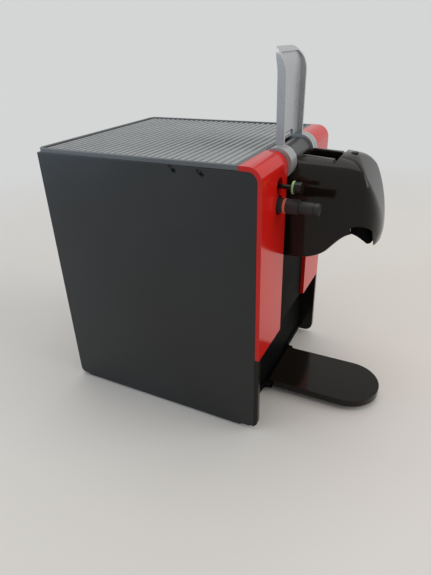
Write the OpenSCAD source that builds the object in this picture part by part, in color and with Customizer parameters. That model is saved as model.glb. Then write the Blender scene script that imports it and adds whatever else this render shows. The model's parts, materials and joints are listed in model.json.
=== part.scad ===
// Pod coffee machine: a cube body, a lever head over a folding cup support, and a rear water tank.
// X runs across the front, -Y towards the cup support and +Z up. The origin lies on the floor at
// the centre of the whole footprint, cup support included.

/* [Body] */
// Width over the side panels
body_w = 182; // [180:1:190]
// Depth from the front shells to the back of the tank
body_d = 207; // [205:1:215]
// Height of the side walls above the plinth
body_h = 240; // [238:1:250]
// Height of the plinth that shows below the side panels
plinth_h = 3.5; // [3:0.1:5]
// Thickness of the side panels and the rear panel
panel_t = 2.4; // [2:0.1:3]
// Radius of the rear lower corner of a side panel
heel_r = 5; // [3:0.5:8]

/* [Front shells] */
// Thickness of a front shell
shell_t = 3.6; // [3:0.1:4.5]
// Outer radius where a front shell turns over the top
shell_r = 11.5; // [8:0.5:14]
// Depth of a front shell along the top
strip_d = 18; // [15:0.5:20]
// Height of the black legs below the coloured shells
leg_h = 77; // [72:1:80]
// Thickness of a leg, side panel included
leg_t = 4.4; // [4:0.1:5]
// Radius of the lower front corner of a leg
foot_r = 9; // [6:0.5:12]
// Gap between the two coloured shells
gap_w = 74; // [73.6:0.1:76]
// Setback of the centre column behind the shells
column_recess = 3.5; // [3:0.1:4]
// Setback of the drawer front behind the shells
drawer_recess = 16; // [15:0.5:18]

/* [Top tray] */
// Height of the rim around the top
rim_h = 3.5; // [3:0.1:4]
// Width of the rim
rim_w = 3.6; // [3:0.1:4.5]
// Distance between the ribs of the tray
rib_pitch = 6; // [5:0.5:8]
// Width of a rib
rib_w = 3; // [2:0.1:3.5]
// Height of a rib
rib_h = 1; // [0.6:0.1:1.2]

/* [Head] */
// Width of the head
head_w = 58; // [57:0.5:60]
// Wall of the head
head_wall = 2.6; // [2.2:0.1:2.8]
// Reach of the nose in front of the shells
nose_reach = 74; // [73:0.5:76]
nose_drop = 5.2; // [5:0.2:6]
// Half width of the flat top between the head's shoulders
crown_flat = 8; // [8:0.5:12]
// Drop from the top to where the shoulders meet the sides
shoulder_low = 30; // [26:1:34]
// Width of the pod slot
slot_w = 25.5; // [25:0.1:26]
// Length of the pod slot
slot_l = 29; // [28:0.5:29.5]

/* [Lever] */
// Height of the lever above its axle
lever_rise = 82.3; // [76:0.1:86]
// Width of the lever at its foot
lever_w = 51; // [50:0.1:51.4]
// Width of the lever at its tip
lever_tip_w = 55; // [52:0.5:56]
// Thickness of the lever's web and flanges
lever_t = 2.4; // [2:0.1:2.6]
// Setback of the axle behind the shells
axle_back = 9.5; // [9:0.1:10]
// Drop of the axle below the top
axle_drop = 10.6; // [10:0.1:11]
// Radius of the hubs
hub_r = 13; // [12.4:0.1:13.4]
// Radius of the barrel between the hubs
barrel_r = 10.8; // [10.4:0.1:11]
// Radius of the axle
axle_r = 4; // [3.5:0.1:4.5]

/* [Buttons] */
// Distance of the buttons from the inner edge of their shell
button_inset = 16.5; // [15.5:0.5:20]
// Drop of the upper button below the top
upper_drop = 22.5; // [21.5:0.5:24]
// Distance between the two buttons
button_pitch = 15; // [15:0.5:18]
// Radius of the upper well
upper_well_r = 6.5; // [6.2:0.1:6.8]
// Radius of the lower well
lower_well_r = 7.8; // [7.5:0.1:8]
// Radius of the upper button's stem
stem_r = 1.8; // [1.6:0.1:2.2]
// Radius of the lower button's stem
plunger_r = 5.8; // [5.5:0.1:6]
// Reach of the upper button in front of its shell
upper_reach = 17.5; // [16:0.5:19]
// Reach of the lower button in front of its shell
lower_reach = 32; // [29:0.5:34]
// Travel of a button
button_travel = 2.5; // [2:0.1:3]

/* [Cup support] */
// Reach of the cup support in front of the shells
support_reach = 92; // [88:0.5:94]
// Width of the cup support
support_w = 62; // [58:0.5:64]
// Thickness of the cup support
support_t = 7; // [6:0.2:7.4]
// Height of the cup support's top above the floor
support_top = 12.5; // [12:0.1:13]
// Radius of the cup support's pin
support_pin_r = 1.5; // [1.2:0.1:1.8]

/* [Water tank] */
// Space between the tank and the side of the body
tank_side = 16; // [15:0.5:20]
// Depth of the tank
tank_d = 68; // [60:1:70]
// Space between the tank and the top of the body
tank_top_clear = 14; // [12:1:24]
// Wall of the tank
tank_wall = 2.2; // [1.8:0.1:2.6]

/* [Inside] */
// Thickness of the inner frames and shelves
frame_t = 2.5; // [2:0.1:3]
// Radius of the pump
pump_r = 21; // [18:0.5:23]
// Space behind the pump for its hose
pump_clear = 19.5; // [18:0.5:25]
// Space between the heater block and the side of the body
heater_side = 15; // [10:1:20]
// Space behind the heater block for its hose
heater_clear = 13.5; // [12:0.5:20]
// Height of the heater block
heater_h = 64; // [56:1:70]
// Radius of the hoses
hose_r = 2.5; // [2:0.1:3]
// Radius of the brew piston
piston_r = 12; // [11:0.5:12]
// Width of the pod bin
bin_w = 104; // [90:1:110]
// Wall of the bin and the drip tray
bin_wall = 1.8; // [1.5:0.1:2.2]

/* [Fits] */
// Space between moving pieces
gap = 0.4; // [0.3:0.05:0.5]
// Space between fixed pieces
seat = 0.1; // [0.05:0.05:0.15]
// Radial clearance of a running fit
running = 0.05; // [0.02:0.01:0.08]

/* [Hidden] */
$fn = 64;

half_w = body_w / 2;
rear_y = (body_d + support_reach) / 2;
front_y = rear_y - body_d;
side_z = plinth_h;
top_z = plinth_h + body_h;
shell_z = side_z + leg_h;
in_w = half_w - panel_t;
gap_hw = gap_w / 2;
column_y = front_y + column_recess;
drawer_y = front_y + drawer_recess;
leg_in = half_w - leg_t;
button_x = gap_hw + button_inset;
axle_y = front_y + axle_back;
axle_z = top_z - axle_drop;
head_hw = head_w / 2;
cheek = hub_r;
lever_hw = lever_w / 2;
barrel_hw = lever_hw - lever_t - gap;
hub_out = gap_hw - gap;
tray_y = front_y + strip_d;
pan_z = 1;
floor_z = side_z + frame_t;
bulkhead_y = drawer_y + 4;
shelf_z = shell_z + 2;
bay_y = rear_y - tank_d - 6;
tank_z = side_z + 30;
tank_h = top_z - tank_top_clear - tank_z;
brew_z = top_z - 36.5;
slot_f = 34;
roof_drop = 17;
head_floor = 91.5;

// Points of a cubic curve through p[0] and p[3], steered by p[1] and p[2]
function curve(p, n = 12) = [for (i = [0:n]) let (t = i / n, u = 1 - t)
    u * u * u * p[0] + 3 * u * u * t * p[1] + 3 * u * t * t * p[2] + t * t * t * p[3]];

// A point of the head's side outline: f in front of the shells, d below the top
function side(p) = [for (q = p) [front_y - q[0], top_z - q[1]]];

// Extrudes an outline drawn in Y and Z over x0 to x1
module across(x0, x1) {
    translate([x0, 0, 0]) rotate([90, 0, 90]) linear_extrude(x1 - x0) children();
}

// Extrudes an outline drawn in X and Z over y0 to y1
module along(y0, y1) {
    translate([0, y1, 0]) rotate([90, 0, 0]) linear_extrude(y1 - y0) children();
}

// Extrudes an outline drawn in X and Y over the whole height of the head
module upright() {
    translate([0, 0, top_z - head_floor - 9]) linear_extrude(head_floor + 18) children();
}

// A box between two corners
module box(a, b) {
    translate(a) cube(b - a);
}

// A cylinder along X, Y or Z from a point
module rod_x(p, r, l) {
    translate(p) rotate([0, 90, 0]) cylinder(r = r, h = l);
}
module rod_y(p, r, l) {
    translate(p) rotate([-90, 0, 0]) cylinder(r = r, h = l);
}
module rod_z(p, r, l) {
    translate(p) cylinder(r = r, h = l);
}

// A rectangle with a radius at each corner: low left, low right, high right, high left
module soft_rect(a, b, r) {
    difference() {
        translate(a) square(b - a);
        if (r[0] > 0) corner_cut(a, r[0], [1, 1]);
        if (r[1] > 0) corner_cut([b[0], a[1]], r[1], [-1, 1]);
        if (r[2] > 0) corner_cut(b, r[2], [-1, -1]);
        if (r[3] > 0) corner_cut([a[0], b[1]], r[3], [1, -1]);
    }
}
module corner_cut(p, r, s) {
    translate(p) scale([s[0], s[1]]) difference() {
        translate([-1, -1]) square(r + 1);
        translate([r, r]) circle(r);
    }
}

// An open box with walls and a floor of one thickness
module open_box(a, b, t) {
    difference() {
        box(a, b);
        box(a + [t, t, t], [b[0] - t, b[1] - t, b[2] + 1]);
    }
}

module base_pan() {
    color([0.06, 0.06, 0.065]) difference() {
        union() {
            box([-half_w + 1, drawer_y + 1.5, pan_z], [half_w - 1, rear_y - 9, side_z]);
            box([-leg_in + seat, drawer_y + 7, side_z], [leg_in - seat, rear_y - panel_t - seat, floor_z]);
        }
        for (p = feet_at) rod_z([p[0], p[1], pan_z - 1], foot_pad_r + seat, 1 + foot_pocket);
    }
}

foot_pad_r = 8;
foot_pocket = 1.5;
feet_at = [for (x = [-1, 1], y = [drawer_y + 18, rear_y - 26]) [x * (half_w - 20), y]];

module rubber_feet() {
    color([0.05, 0.05, 0.05]) for (p = feet_at) rod_z([p[0], p[1], 0], foot_pad_r, pan_z + foot_pocket);
}

// Outline of a side panel in Y and Z
module side_outline() {
    soft_rect([front_y + shell_t + seat, side_z], [rear_y, top_z - rim_h - seat],
        [foot_r - shell_t + 1, heel_r, 0, shell_r - shell_t]);
}
module side_panel(s) {
    x0 = s > 0 ? in_w : -half_w;
    across(x0, x0 + panel_t) side_outline();
}
module left_side_panel() {
    color([0.16, 0.17, 0.18]) side_panel(-1);
}
module right_side_panel() {
    color([0.16, 0.17, 0.18]) side_panel(1);
}

tank_hw = half_w - tank_side;
bay_hw = tank_hw + 1.5;

module rear_panel() {
    color([0.09, 0.09, 0.1]) difference() {
        union() {
            box([-in_w + seat, rear_y - panel_t, side_z], [in_w - seat, rear_y, top_z - rim_h - seat]);
            for (p = screws_at) rod_y([p[0], rear_y - boss_l, p[1]], boss_r, boss_l - panel_t);
        }
        for (p = screws_at) {
            rod_y([p[0], rear_y - boss_l - 1, p[1]], screw_r + seat, boss_l + 2);
            rod_y([p[0], rear_y - screw_head_h - seat, p[1]], 2 * screw_r + seat, screw_head_h + 1);
        }
        box([-bay_hw, rear_y - panel_t - 1, tank_z - 1.5], [bay_hw, rear_y + 1, tank_z + tank_h + 1.5]);
        box([inlet_x - inlet_hw - seat, rear_y - panel_t - 1, inlet_z - inlet_hh - seat],
            [inlet_x + inlet_hw + seat, rear_y + 1, inlet_z + inlet_hh + seat]);
    }
}

inlet_x = 39 - half_w;
inlet_z = side_z + 15;
inlet_hw = 13.5;
inlet_hh = 9.5;

module power_inlet() {
    color([0.05, 0.05, 0.05]) difference() {
        union() {
            box([inlet_x - inlet_hw, rear_y - 16, inlet_z - inlet_hh],
                [inlet_x + inlet_hw, rear_y, inlet_z + inlet_hh]);
            box([inlet_x - inlet_hw - 2, rear_y - panel_t - 2, inlet_z - inlet_hh - 1],
                [inlet_x + inlet_hw + 2, rear_y - panel_t - seat, inlet_z + inlet_hh + 1]);
        }
        box([inlet_x - inlet_hw + 2, rear_y - 13, inlet_z - inlet_hh + 2],
            [inlet_x + inlet_hw - 2, rear_y + 1, inlet_z + inlet_hh - 2]);
    }
}

inner_wall_t = 2.4;

// Outline of a coloured front shell in Y and Z: a plate that turns over the top
module shell_outline() {
    difference() {
        soft_rect([front_y, shell_z], [tray_y, top_z], [0, 0, 0, shell_r]);
        soft_rect([front_y + shell_t, shell_z - 1], [tray_y + 1, top_z - shell_t],
            [0, 0, 0, shell_r - shell_t]);
    }
}
module front_shell() {
    across(gap_hw, half_w) shell_outline();
    across(gap_hw, gap_hw + inner_wall_t) difference() {
        soft_rect([front_y + 1, shell_z], [bulkhead_y - 6, top_z - 1], [0, 0, 0, shell_r - 1]);
        translate([axle_y, axle_z]) circle(axle_r + seat);
    }
}
module left_front_shell() {
    color([0.62, 0.05, 0.04]) difference() {
        mirror([1, 0, 0]) front_shell();
        rod_y([-button_x, front_y - 1, upper_z], upper_well_r, shell_t + 2);
        rod_y([-button_x, front_y - 1, lower_z], lower_well_r, shell_t + 2);
    }
}
module right_front_shell() {
    color([0.62, 0.05, 0.04]) front_shell();
}

// A black leg: the lower end of the front shell, open between the two
module leg() {
    across(leg_in, half_w)
        intersection() {
            soft_rect([front_y, side_z], [drawer_y, shell_z - seat], [foot_r, 0, 0, 0]);
            difference() {
                translate([front_y - 1, side_z - 1]) square([drawer_recess, leg_h + 2]);
                soft_rect([front_y + shell_t, side_z - 2], [drawer_y, shell_z + 1],
                    [foot_r - shell_t + 3, 0, 0, 0]);
            }
        }
    across(leg_in, in_w - seat / 2)
        soft_rect([front_y, side_z], [bulkhead_y - seat, shell_z - seat], [foot_r, 0, 0, 0]);
}
module left_leg() {
    color([0.03, 0.03, 0.035]) mirror([1, 0, 0]) leg();
}
module right_leg() {
    color([0.03, 0.03, 0.035]) leg();
}

// The column between the shells: a channel with the pod opening in its face
module centre_column() {
    hw = gap_hw - seat;
    color([0.02, 0.02, 0.025]) difference() {
        box([-hw, column_y, shell_z], [hw, bulkhead_y - seat, axle_z + 4]);
        box([-hw + 3, column_y + 3, shell_z - 1], [hw - 3, bulkhead_y + 1, axle_z + 5]);
        box([-head_in, column_y - 1, chute_low], [head_in, column_y + 4, axle_z + 5]);
        hub_space();
    }
}
head_in = head_hw - head_wall;
chute_low = top_z - head_floor + head_wall;

// Frame around the top, behind the shells
module top_frame() {
    color([0.13, 0.14, 0.15]) difference() {
        union() {
            along(tray_y + seat, rear_y) translate([-half_w, top_z - rim_h]) square([body_w, rim_h]);
            box([-in_w + seat, tray_y + seat, top_z - rim_h - 3], [in_w - seat, rear_y - panel_t - seat,
                top_z - rim_h]);
        }
        box([-half_w + rim_w, tray_y + rim_w, top_z - rim_h + 0.5],
            [half_w - rim_w, rear_y - rim_w, top_z + 1]);
        box([-half_w + rim_w + 6, tray_y + rim_w + 6, top_z - 20],
            [half_w - rim_w - 6, rear_y - rim_w - 6, top_z + 1]);
        rear_corner_cut(1);
        rear_corner_cut(-1);
        hub_space();
    }
}
rim_corner_r = 8;
module rear_corner_cut(s) {
    translate([s * half_w, rear_y, top_z - rim_h - 1]) scale([-s, -1, 1]) difference() {
        translate([-1, -1, 0]) cube([rim_corner_r + 1, rim_corner_r + 1, rim_h + 2]);
        translate([rim_corner_r, rim_corner_r, -1]) cylinder(r = rim_corner_r, h = rim_h + 4);
    }
}

// Ribbed cup tray that lies inside the rim
module cup_tray() {
    x1 = half_w - rim_w - seat;
    y0 = tray_y + rim_w + seat;
    y1 = rear_y - rim_w - seat;
    z0 = top_z - rim_h + 0.5;
    color([0.2, 0.21, 0.22]) difference() {
        union() {
            box([-x1, y0, z0], [x1, y1, z0 + 1.2]);
            for (y = [y0 + 2 : rib_pitch : y1 - rib_w - 1])
                box([-x1 + 2, y, z0 + 1.2], [x1 - 2, y + rib_w, z0 + 1.2 + rib_h]);
        }
        hub_space();
        for (s = [-1, 1]) rear_corner_cut(s);
    }
}

module front_bulkhead() {
    color([0.3, 0.3, 0.31]) difference() {
        box([-in_w + seat, bulkhead_y, shell_z + 1], [in_w - seat, bulkhead_y + frame_t, top_z - rim_h - 3]);
        box([-head_in, bulkhead_y - 1, chute_low], [head_in, bulkhead_y + frame_t + 1, axle_z - 4]);
        hub_space();
    }
}

module equipment_shelf() {
    color([0.3, 0.3, 0.31]) difference() {
        box([-in_w + seat, bulkhead_y + frame_t, shelf_z], [in_w - seat, bay_y, shelf_z + frame_t]);
        box([-chute_hw - seat, bulkhead_y, shelf_z - 1], [chute_hw + seat, chute_back + seat, shelf_z + frame_t + 1]);
        rod_z([0, bay_y - 14, shelf_z - 1], hose_r + 1, frame_t + 2);
    }
}

module tank_bay_wall() {
    color([0.3, 0.3, 0.31]) difference() {
        box([-in_w + seat, bay_y, floor_z], [in_w - seat, bay_y + frame_t, top_z - rim_h - 3]);
        rod_y([0, bay_y - 1, valve_z], valve_r + seat, frame_t + 2);
    }
    color([0.3, 0.3, 0.31]) for (s = [-1, 1])
        box([s * (bay_hw + 1) - 1, bay_y + frame_t, tank_z - gap - frame_t],
            [s * (bay_hw + 1) + 1, rear_y - panel_t - seat, tank_z + 16]);
    color([0.3, 0.3, 0.31])
        box([-bay_hw, bay_y + frame_t, tank_z - gap - frame_t],
            [bay_hw, rear_y - panel_t - seat, tank_z - gap]);
}

valve_r = 9;
valve_z = tank_z + 18;
spigot_r = 5;

module tank_valve_seat() {
    color([0.75, 0.74, 0.7]) difference() {
        union() {
            rod_y([0, bay_y - 8, valve_z], valve_r, 8 + frame_t + 1);
            rod_y([0, bay_y - 2, valve_z], valve_r + 3, 2 - seat);
        }
        rod_y([0, bay_y - 5, valve_z], spigot_r + gap, 20);
        rod_y([0, bay_y - 20, valve_z], hose_r, 20);
    }
}

module water_tank() {
    a = [-tank_hw, rear_y - tank_d, tank_z];
    b = [tank_hw, rear_y, tank_z + tank_h];
    color([0.18, 0.2, 0.22, 0.7]) difference() {
        box(a, b);
        box(a + [tank_wall, tank_wall, tank_wall], [b[0] - tank_wall, b[1] - tank_wall, b[2] + 1]);
        rod_y([0, a[1] - 1, valve_z], spigot_r - 1, tank_wall + 2);
        box([-30, rear_y - tank_wall - 1, b[2] - 14], [30, rear_y + 1, b[2] + 1]);
    }
}
module tank_coupler() {
    y0 = rear_y - tank_d;
    color([0.7, 0.7, 0.68]) difference() {
        rod_y([0, bay_y - 4, valve_z], spigot_r, y0 - bay_y + 4);
        rod_y([0, bay_y - 5, valve_z], spigot_r - 2, y0 - bay_y + 6);
    }
}

boss_r = 3.4;
boss_l = 9;
screw_r = 1.4;
screw_head_h = 1.1;
screws_at = [for (x = [-1, 1], z = [floor_z + 7, top_z - rim_h - 9]) [x * (half_w - tank_side / 2 - 0.5), z]];

module case_screws() {
    color([0.5, 0.5, 0.5]) for (p = screws_at) difference() {
        union() {
            rod_y([p[0], rear_y - boss_l, p[1]], screw_r, boss_l - screw_head_h);
            rod_y([p[0], rear_y - screw_head_h, p[1]], 2 * screw_r, screw_head_h - seat);
        }
        box([p[0] - 2, rear_y - 0.7, p[1] - 0.3], [p[0] + 2, rear_y + 1, p[1] + 0.3]);
        box([p[0] - 0.3, rear_y - 0.7, p[1] - 2], [p[0] + 0.3, rear_y + 1, p[1] + 2]);
    }
}

// Room for the turning hubs and barrel
module hub_space() {
    rod_x([-gap_hw, axle_y, axle_z], hub_r + gap, 2 * gap_hw);
}

// The head's side outline: under side, arch over the spout, beak, front, ramp and wall tops
head_under = concat(curve([[seat - column_recess, head_floor], [nose_reach - 62, head_floor],
    [nose_reach - 50, 90], [nose_reach - 41, 81.8]], 6), curve([[nose_reach - 40.2, 81],
    [nose_reach - 35, 75.5], [nose_reach - 29, 66.5], [nose_reach - 22, 64.3]], 6));
nose_f = nose_reach;
head_arch = curve([[nose_f - 23, 59.7], [nose_f - 22, 55], [nose_f - 8, 54], [nose_f - 6, 61.2]], 8);
head_front = curve([[nose_f - 0.2, 67], [nose_f - 0.2, 47.6], [nose_f - 15.4, nose_drop],
    [nose_f - 32, nose_drop]], 16);
head_outline = concat(head_under, head_arch,
    [[nose_f - 4.6, 71.6], [nose_f - 3.7, 74.4], [nose_f - 1.4, 73.6]], head_front,
    [[slot_f + 2.2, nose_drop], [slot_f - 1.9, 10.5], [slot_f - 3, 8.3], [8, 6.6], [3, 7.4], [seat - column_recess, 8]]);

// Plan of the head: straight sides and a rounded nose, at half width hw and reach f
module head_plan(hw, f) {
    nose = curve([[hw, f - 18], [hw, f - 4], [hw * 0.52, f], [0, f]], 12);
    right = [for (p = nose) [p[0], front_y - p[1]]];
    left = [for (i = [len(nose) - 1 : -1 : 0]) [-nose[i][0], front_y - nose[i][1]]];
    polygon(concat([[hw, bulkhead_y]], right, left, [[-hw, bulkhead_y]]));
}

module head_solid() {
    intersection() {
        across(-head_hw, head_hw) polygon(side(head_outline));
        upright() head_plan(head_hw, nose_f + 0.2);
        along(front_y - nose_f - 2, bulkhead_y + 1) head_section(head_hw, 5);
    }
}

// Upright section of the head: a flat top at drop d whose shoulders turn down to half width hw
module head_section(hw, d) {
    right = [for (a = [0 : 7.5 : 90]) [crown_flat + (hw - crown_flat) * sin(a),
        top_z - shoulder_low + (shoulder_low - d) * cos(a)]];
    left = [for (i = [len(right) - 1 : -1 : 0]) [-right[i][0], right[i][1]]];
    low = top_z - head_floor - 5;
    polygon(concat(right, [[hw, low], [-hw, low]], left));
}

// Hollow of the nose, open below at the arch
nose_hollow = concat([[slot_f + 3, 9.5], [40, 9.5]],
    curve([[44, 9.5], [nose_f - 20, 9.5], [nose_f - 4.4, 47], [nose_f - 3.4, 66]], 10),
    [[nose_f - 3.6, 78], [nose_f - 22, 78], [nose_f - 23.5, 60], [nose_f - 27.5, 63], [slot_f + 3, 73]]);
pod_hollow = concat(curve([[-5, head_floor - head_wall], [18, head_floor - head_wall],
    [29, 81], [slot_f, 76]], 8), [[slot_f, roof_drop], [-5, roof_drop]]);

module head_shell() {
    color([0.03, 0.03, 0.035]) difference() {
        head_solid();
        intersection() {
            across(-head_in, head_in) polygon(side(pod_hollow));
            along(front_y - nose_f, bulkhead_y + 2) head_section(head_in, 9);
        }
        intersection() {
            across(-head_in, head_in) polygon(side(nose_hollow));
            upright() head_plan(head_in, nose_f - head_wall);
            along(front_y - nose_f, bulkhead_y) head_section(head_in, 9);
        }
        translate([0, 0, top_z - roof_drop - 1]) linear_extrude(roof_drop + 2)
            soft_rect([-slot_w / 2, front_y - slot_f + 2], [slot_w / 2, front_y - slot_f + 2 + slot_l],
                [0.5, 0.5, 4, 4]);
        rod_x([-barrel_hw - gap, axle_y, axle_z], barrel_r + seat, 2 * (barrel_hw + gap));
        for (s = [0, 1]) mirror([s, 0, 0]) rod_x([barrel_hw, axle_y, axle_z], hub_r + gap, 20);
        rod_z([0, pad_y, top_z - nose_drop - 0.8], pad_r + seat, 4);
        rod_y([0, front_y - slot_f - 5, brew_z], 5, 6);
        rod_y([0, front_y - slot_f - 5, duct_z], duct_r + seat, 6);
    }
}

pad_r = 2.9;
pad_y = front_y - 43.7;
duct_z = top_z - 45;
duct_r = 4.5;

module head_barrel() {
    color([0.08, 0.08, 0.09]) difference() {
        rod_x([-barrel_hw, axle_y, axle_z], barrel_r, 2 * barrel_hw);
        rod_x([-barrel_hw - 1, axle_y, axle_z], axle_r + seat / 2, 2 * barrel_hw + 2);
    }
}

module lever_pad() {
    color([0.02, 0.02, 0.02]) rod_z([0, pad_y, top_z - nose_drop - 0.8], pad_r, 1.1);
}

// Matt block that guides the coffee from the pod down to the cup
spout_back = nose_reach - 24.5;
spout_outline = concat([[spout_back, 40], [nose_f - 12, 40], [nose_f - 5, 56], [nose_f - 4.7, 70],
    [nose_f - 7, 73.4]], curve([[nose_f - 9.5, 73], [nose_f - 15, 66.3], [nose_f - 20, 64.6],
    [nose_f - 22.6, 64.4]], 6), [[nose_f - 22.8, 59.4], [spout_back, 59]]);
module spout_outlet() {
    color([0.04, 0.04, 0.04]) difference() {
        union() {
            intersection() {
                across(-head_in + 2, head_in - 2) polygon(side(spout_outline));
                upright()
                    head_plan(head_in - 2, nose_f - head_wall - 1);
            }
            rod_y([0, front_y - spout_back - 0.5, duct_z], duct_r, spout_back + 0.5 - slot_f);
        }
        rod_y([0, front_y - nose_f + 14, duct_z], duct_r - 1.5, nose_f - slot_f);
        for (x = [-7, 7]) rod_z([x, front_y - nose_f + 14, duct_z - 35], 2, 34);
    }
}

module needle_plate() {
    color([0.7, 0.7, 0.72]) difference() {
        rod_y([0, front_y - slot_f + seat, brew_z], slot_w / 2 - 1, 2);
        for (a = [0 : 45 : 315]) rotate_about(a) rod_y([9, front_y - slot_f - 1, brew_z], 1, 4);
        rod_y([0, front_y - slot_f - 1, brew_z], 1.5, 4);
    }
}
module rotate_about(a) {
    translate([0, 0, brew_z]) rotate([0, a, 0]) translate([0, 0, -brew_z]) children();
}

sleeve_r = piston_r + 2.4;
module brew_sleeve() {
    color([0.35, 0.35, 0.36]) difference() {
        union() {
            rod_y([0, column_y + 1, brew_z], sleeve_r, 36);
            box([-head_in - 4, bulkhead_y - 2.5 - seat, brew_z - sleeve_r],
                [head_in + 4, bulkhead_y - seat, brew_z + sleeve_r]);
        }
        rod_y([0, column_y, brew_z], piston_r + running, 34);
        rod_y([0, column_y, brew_z], hose_r + seat, 40);
        hub_space();
    }
}
module brew_piston() {
    color([0.8, 0.8, 0.82]) difference() {
        union() {
            rod_y([0, front_y - 3.5, brew_z], piston_r, 34);
            for (a = [0, 120, 240]) rotate_about(a) rod_y([6, front_y - 5.5, brew_z], 0.8, 2);
        }
        rod_y([0, front_y - 8, brew_z], 1.5, 50);
    }
}

module lever_axle() {
    color([0.75, 0.75, 0.77]) rod_x([-gap_hw - inner_wall_t, axle_y, axle_z], axle_r,
        2 * (gap_hw + inner_wall_t));
}
module hub() {
    difference() {
        rod_x([lever_hw, axle_y, axle_z], hub_r, hub_out - lever_hw);
        rod_x([lever_hw - 1, axle_y, axle_z], axle_r + running, 30);
    }
}
module left_hub() {
    color([0.72, 0.73, 0.75]) mirror([1, 0, 0]) hub();
}
module right_hub() {
    color([0.72, 0.73, 0.75]) hub();
}

// The lever, upright: a channel whose flanges face forward and run down to the hubs
web_back = 4.7;
web_front = web_back - lever_t;
flange_front = -2;
web_low = barrel_r + 0.9;
notch_hw = 11;
notch_top = 19.6;
curl = lever_rise - 20;
taper_z = hub_r + 7;
lever_back = curve([[web_back, curl], [web_back + 0.2, curl + 9], [web_back + 1.4, curl + 14],
    [web_back + 4, lever_rise]], 8);
lever_lip = curve([[web_back + 3.6, lever_rise], [3, curl + 15.5], [flange_front, curl + 10],
    [flange_front, curl]], 8);
inner_curl = curve([[web_front, curl], [web_front, curl + 9], [web_front + 1, curl + 12],
    [web_front + 3, curl + 16]], 6);

module at_axle() {
    translate([axle_y, axle_z]) children();
}
module lever_front(hw, tip, h, r) {
    intersection() {
        polygon([[-hw, -20], [hw, -20], [hw, taper_z], [tip, lever_rise], [-tip, lever_rise], [-hw, taper_z]]);
        soft_rect([-tip, -20], [tip, h], [0, 0, r, r]);
    }
}
module lever() {
    color([0.72, 0.73, 0.75]) difference() {
        union() {
            intersection() {
                across(-lever_tip_w / 2, lever_tip_w / 2) at_axle()
                    polygon(concat([[web_back, 0]], lever_back, lever_lip, [[flange_front, 0]]));
                along(axle_y - 20, axle_y + 20) translate([0, axle_z])
                    lever_front(lever_hw, lever_tip_w / 2, lever_rise, 11);
            }
            rod_x([-lever_hw, axle_y, axle_z], cheek, lever_w);
        }
        intersection() {
            across(-lever_tip_w / 2, lever_tip_w / 2) at_axle()
                polygon(concat([[web_front, 0]], inner_curl, [[-20, curl + 16], [-20, 0]]));
            along(axle_y - 30, axle_y + 20) translate([0, axle_z])
                lever_front(lever_hw - lever_t, lever_tip_w / 2 - lever_t, lever_rise - 3, 9);
        }
        rod_x([-lever_hw + lever_t, axle_y, axle_z], cheek + 2, lever_w - 2 * lever_t);
        box([-lever_hw + lever_t, axle_y - 20, axle_z - 20], [lever_hw - lever_t, axle_y + 20, axle_z + web_low]);
        along(axle_y - 20, axle_y + 20) translate([0, axle_z])
            soft_rect([-notch_hw, 0], [notch_hw, notch_top], [0, 0, 4, 4]);
        rod_x([-lever_hw - 1, axle_y, axle_z], axle_r + running, lever_w + 2);
    }
}

upper_z = top_z - upper_drop;
lower_z = upper_z - button_pitch;
guide_y = front_y + 6;
guide_back = front_y + 13;
button_end = front_y + 13.6;
collar_t = 1.2;

module upper_button() {
    color([0.05, 0.05, 0.05]) {
        rod_y([-button_x, front_y - upper_reach, upper_z], 4.5, upper_reach - 12);
        rod_y([-button_x, front_y - 12, upper_z], stem_r, button_end + collar_t - front_y + 12);
        rod_y([-button_x, guide_back + gap, upper_z], stem_r + 1.5, collar_t);
    }
}
module upper_ring() {
    color([0.5, 0.72, 0.45]) difference() {
        rod_y([-button_x, front_y - 12 + seat, upper_z], 4.9, 1.6);
        rod_y([-button_x, front_y - 13, upper_z], stem_r + seat / 2, 4);
    }
}
module lower_button() {
    color([0.05, 0.05, 0.05]) {
        rod_y([-button_x, front_y - lower_reach, lower_z], 4.8, 3.5);
        rod_y([-button_x, front_y - lower_reach + 3.5, lower_z], 4.2, 1);
        rod_y([-button_x, front_y - lower_reach + 4.5, lower_z], 4.8, lower_reach - 22);
        rod_y([-button_x, front_y - 17.5, lower_z], 4, 1.5);
        rod_y([-button_x, front_y - 16, lower_z], plunger_r, 9.8);
        rod_y([-button_x, front_y - 6.2, lower_z], plunger_r - 1.2, 2.4);
        rod_y([-button_x, front_y - 3.8, lower_z], plunger_r, button_end - front_y + 3.8 + collar_t);
        rod_y([-button_x, guide_back + gap, lower_z], plunger_r + 1.2, collar_t);
    }
}
module lower_ring() {
    color([0.8, 0.35, 0.28]) difference() {
        rod_y([-button_x, front_y - 6.2 + seat, lower_z], plunger_r, 2.4 - 2 * seat);
        rod_y([-button_x, front_y - 7, lower_z], plunger_r - 1.2 + seat / 2, 4);
    }
}
guide_hw = 9.5;
module button_guide() {
    color([0.03, 0.03, 0.03]) difference() {
        box([-button_x - guide_hw, guide_y, lower_z - 10], [-button_x + guide_hw, bulkhead_y, upper_z + 9]);
        box([-button_x - guide_hw + 1.5, guide_back, lower_z - 8.5],
            [-button_x + guide_hw - 1.5, bulkhead_y + 1, upper_z + 7.5]);
        rod_y([-button_x, guide_y - 1, upper_z], stem_r + running, 10);
        rod_y([-button_x, guide_y - 1, lower_z], plunger_r + running, 10);
    }
}
module switch_block() {
    y0 = button_end + collar_t + button_travel + gap;
    color([0.1, 0.35, 0.2]) {
        box([-button_x - guide_hw + 2, y0 + 0.8, lower_z - 8], [-button_x + guide_hw - 2, bulkhead_y, upper_z + 7]);
        for (z = [upper_z, lower_z]) rod_y([-button_x, y0, z], 1.5, 0.8);
    }
}

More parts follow.
